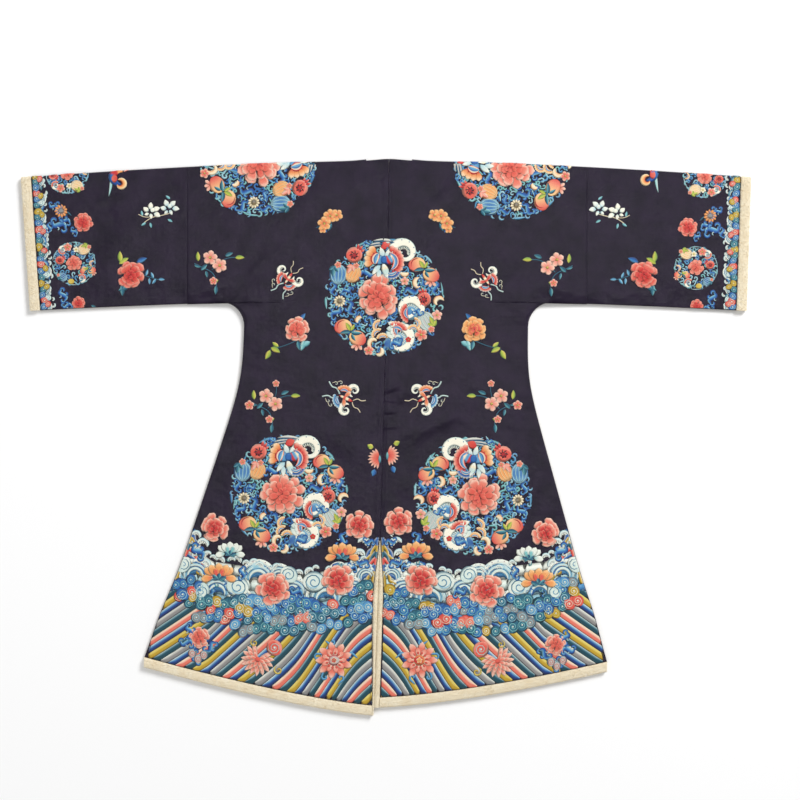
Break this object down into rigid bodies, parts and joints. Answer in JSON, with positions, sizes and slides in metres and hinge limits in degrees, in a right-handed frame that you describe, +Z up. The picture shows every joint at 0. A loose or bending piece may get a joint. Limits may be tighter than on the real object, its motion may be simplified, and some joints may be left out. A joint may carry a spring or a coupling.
{
  "type": "fur-lined surcoat",
  "caption": "Long-sleeved, knee-length surcoat in dark embroidered satin, edged in fur at cuffs, hem and back vent, laid flat on its front.",
  "frame": {"origin": "middle of the laid-out coat's box, on the surface it lies on", "axes": "+Z up from the surface, out of the coat's back; +Y from the hem towards the shoulders; +X towards the sleeve on the right of the picture"},
  "size_m": [1.753, 1.3366, 0.0154],
  "materials": {
    "satin": "dark aubergine silk satin with a soft sheen, embroidered in coloured silk",
    "fur": "cream sheared fur",
    "cord": "dark silk cord"
  },
  "bodies": {
    "root": {"body_left": "satin", "body_right": "satin", "sleeve_left": "satin", "sleeve_right": "satin", "cuff_fur_left": "fur", "cuff_fur_right": "fur", "hem_fur_back_left": "fur", "hem_fur_back_right": "fur", "hem_fur_front_left": "fur", "hem_fur_front_right": "fur", "vent_fur_left": "fur", "vent_fur_right": "fur", "knot_1": "cord", "loop_1": "cord", "knot_2": "cord", "loop_2": "cord", "knot_3": "cord", "loop_3": "cord", "knot_4": "cord", "loop_4": "cord", "knot_5": "cord", "loop_5": "cord"}
  },
  "joints": []
}
